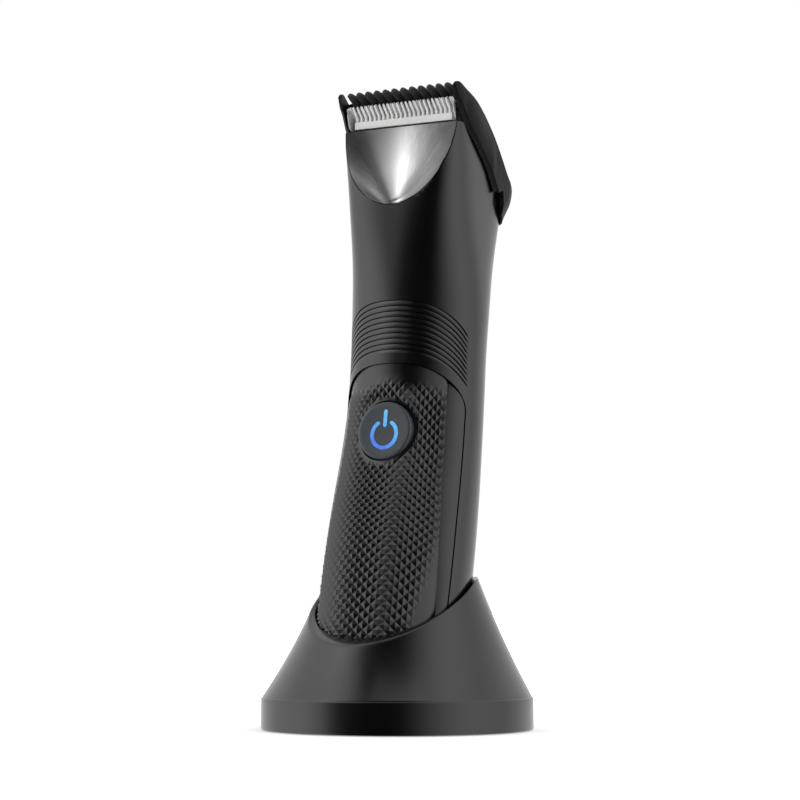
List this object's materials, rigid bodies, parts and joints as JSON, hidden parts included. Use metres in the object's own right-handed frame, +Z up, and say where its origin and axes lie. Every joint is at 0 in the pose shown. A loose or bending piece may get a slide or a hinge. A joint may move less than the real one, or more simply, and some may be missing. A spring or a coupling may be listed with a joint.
{
  "type": "body groomer",
  "caption": "Cordless body groomer with slanted toothed blade and clip-on guard comb, standing in a round flared charging stand with a slanted socket rim.",
  "frame": {"origin": "centre of the charging stand's underside", "axes": "+Z up; -Y is the side with the button and the chrome front; X runs along the blade's width"},
  "size_m": [0.075, 0.0766, 0.1793],
  "materials": {
    "satin_black": "satin moulded",
    "matte_black": "fine matte moulded",
    "grip_black": "pyramid textured",
    "button_black": "soft satin",
    "icon_blue": "lit light pipe",
    "chrome": "polished plated plastic",
    "blade_steel": "ground",
    "ceramic_white": "fine ground",
    "gold_contact": "gold plated",
    "screw_steel": "zinc plated",
    "seal_rubber": "soft matte",
    "board_green": "solder mask",
    "inner_plastic": "moulded",
    "cell_sleeve": "shrink sleeve",
    "drive_plastic": "low-friction moulded",
    "lead_red": "wire insulation"
  },
  "bodies": {
    "stand": {"stand_shell": "satin_black", "usb_socket": "screw_steel", "stand_base_plate": "matte_black", "stand_foot_pad": "seal_rubber", "stand_weight": "screw_steel", "stand_board": "board_green", "stand_screw_left": "screw_steel", "stand_screw_right": "screw_steel", "stand_screw_front": "screw_steel", "socket_floor": "matte_black", "pin_carrier": "inner_plastic", "pin_spring_left": "blade_steel", "pin_spring_right": "blade_steel"},
    "pin_left": {"charging_pin_left": "gold_contact"},
    "pin_right": {"charging_pin_right": "gold_contact"},
    "groomer": {"housing": "satin_black", "chrome_bib": "chrome", "grip_panel": "grip_black", "button_seal": "seal_rubber", "bottom_cap": "satin_black", "cap_seal": "seal_rubber", "charging_contact_left": "gold_contact", "charging_contact_right": "gold_contact", "cap_screw_front": "screw_steel", "cap_screw_back": "screw_steel", "battery": "cell_sleeve", "battery_cradle": "inner_plastic", "battery_lead_red": "lead_red", "battery_lead_black": "matte_black", "circuit_board": "board_green", "inner_frame": "inner_plastic", "tactile_switch": "inner_plastic", "indicator_led": "drive_plastic", "charge_chip": "matte_black", "motor": "screw_steel", "motor_bracket": "inner_plastic", "motor_screw_left": "screw_steel", "motor_screw_right": "screw_steel", "motor_lead_red": "lead_red", "motor_lead_black": "matte_black"},
    "button": {"power_button": "button_black", "power_icon_ring": "icon_blue", "power_icon_bar": "icon_blue"},
    "crank": {"motor_shaft": "blade_steel", "eccentric_cam": "drive_plastic", "crank_pin": "blade_steel"},
    "blade_module": {"blade_holder": "matte_black", "fixed_blade": "blade_steel", "blade_screw_left": "screw_steel", "blade_screw_right": "screw_steel", "cutter_spring_left": "blade_steel", "cutter_spring_right": "blade_steel"},
    "cutter": {"cutter_blade": "ceramic_white", "drive_fork": "drive_plastic"},
    "comb": {"guard_comb": "matte_black"}
  },
  "joints": [
    {"name": "groomer_lift", "type": "slide", "parent": "stand", "child": "groomer", "axis": [0, 0.2334, 0.9724], "range_m": [0, 0.06]},
    {"name": "charging_pin_left_press", "type": "slide", "parent": "stand", "child": "pin_left", "axis": [0, 0.2334, 0.9724], "range_m": [-0.001, 0], "stiffness_N_per_m": 200, "springref_m": 0.0005, "deforming": ["pin_spring_left"]},
    {"name": "charging_pin_right_press", "type": "slide", "parent": "stand", "child": "pin_right", "axis": [0, 0.2334, 0.9724], "range_m": [-0.001, 0], "stiffness_N_per_m": 200, "springref_m": 0.0005, "deforming": ["pin_spring_right"]},
    {"name": "power_button_press", "type": "slide", "parent": "groomer", "child": "button", "axis": [0, 0.9859, -0.1676], "range_m": [0, 0.0005], "stiffness_N_per_m": 800, "springref_m": -0.001},
    {"name": "motor_spin", "type": "hinge", "parent": "groomer", "child": "crank", "pos_m": [0, 0.0154, 0.142], "axis": [0, 0.0995, 0.995], "continuous": true},
    {"name": "blade_release", "type": "slide", "parent": "groomer", "child": "blade_module", "axis": [0, 0.6428, 0.766], "range_m": [0, 0.03]},
    {"name": "cutter_stroke", "type": "slide", "parent": "blade_module", "child": "cutter", "axis": [1, 0, 0], "range_m": [-0.0012, 0.0012]},
    {"name": "comb_release", "type": "slide", "parent": "blade_module", "child": "comb", "axis": [0, 0.6428, 0.766], "range_m": [0, 0.03]}
  ]
}
